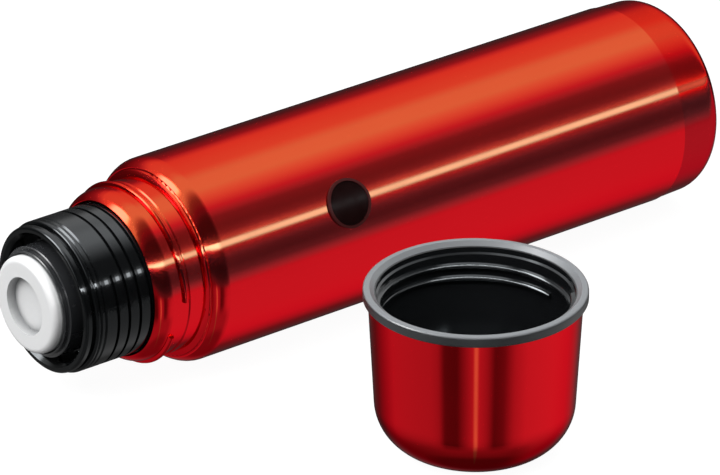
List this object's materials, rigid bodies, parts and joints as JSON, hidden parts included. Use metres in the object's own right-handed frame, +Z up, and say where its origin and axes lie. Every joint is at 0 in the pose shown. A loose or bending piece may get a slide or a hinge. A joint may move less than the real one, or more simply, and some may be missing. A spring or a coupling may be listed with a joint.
{
  "type": "insulated water bottle",
  "caption": "Steel vacuum flask on its side with a push-button screw stopper in its neck, and its drinking cup standing beside it.",
  "frame": {"origin": "centre of the flask's flat base face, on the flask's axis", "axes": "+X along the flask's axis out of its base, so the mouth faces -X; +Z up; the cup stands towards -Y, on the same table as the flask"},
  "size_m": [0.271, 0.1834, 0.07],
  "materials": {
    "red_lacquer": "clear red lacquer over brushed steel, mirror-like",
    "bare_steel": "satin drawn steel",
    "spring_steel": "bright drawn wire",
    "getter_metal": "matt sintered metal",
    "foil": "bright foil",
    "solder_glass": "fused bead",
    "dark_badge": "dark satin plate",
    "black_gloss": "glossy moulded",
    "dark_grey_plastic": "satin moulded",
    "grey_plastic": "satin moulded",
    "white_plastic": "satin moulded",
    "clear_silicone": "soft silicone",
    "black_rubber": "soft rubber",
    "foam": "rigid foam"
  },
  "bodies": {
    "flask": {"outer_shell": "red_lacquer", "base_cap": "red_lacquer", "outer_bottom": "bare_steel", "glass_bead": "solder_glass", "getter_pan": "bare_steel", "getter": "getter_metal", "badge": "dark_badge", "inner_vessel": "bare_steel", "inner_bottom": "bare_steel", "heat_foil": "foil"},
    "stopper_carriage": {"neck_seal": "clear_silicone"},
    "stopper": {"stopper_body": "black_gloss", "stopper_top_ring": "black_gloss", "stopper_collar": "dark_grey_plastic", "stopper_base": "black_gloss", "stopper_insulation": "foam", "stem_o_ring": "black_rubber", "spring_washer": "bare_steel", "return_spring": "spring_steel"},
    "button": {"push_button": "white_plastic", "valve_stem": "white_plastic", "valve_disc": "white_plastic", "valve_seal": "clear_silicone", "stem_clip": "spring_steel"},
    "cup_carriage": {"cup_rim_ring": "grey_plastic"},
    "cup": {"cup_shell": "red_lacquer", "cup_liner": "black_gloss"}
  },
  "joints": [
    {"name": "stopper_rise", "type": "slide", "parent": "flask", "child": "stopper_carriage", "axis": [1, 0, 0], "range_m": [-0.0132, 0.0132]},
    {"name": "stopper_turn", "type": "hinge", "parent": "stopper_carriage", "child": "stopper", "pos_m": [-0.2, 0, 0], "axis": [1, 0, 0], "range_deg": [-1081, 1081]},
    {"name": "button_press", "type": "slide", "parent": "stopper", "child": "button", "axis": [1, 0, 0], "range_m": [0, 0.004], "stiffness_N_per_m": 600, "springref_m": -0.002, "deforming": ["return_spring"]},
    {"name": "cup_lift", "type": "slide", "parent": "flask", "child": "cup_carriage", "axis": [0, 0, 1], "range_m": [0, 0.12]},
    {"name": "cup_turn", "type": "hinge", "parent": "cup_carriage", "child": "cup", "pos_m": [-0.1736, -0.1122, 0], "axis": [0, 0, 1], "continuous": true}
  ],
  "couplings": [
    {"joint": "stopper_turn", "follows": "stopper_rise", "rad_per_m": 1428}
  ]
}
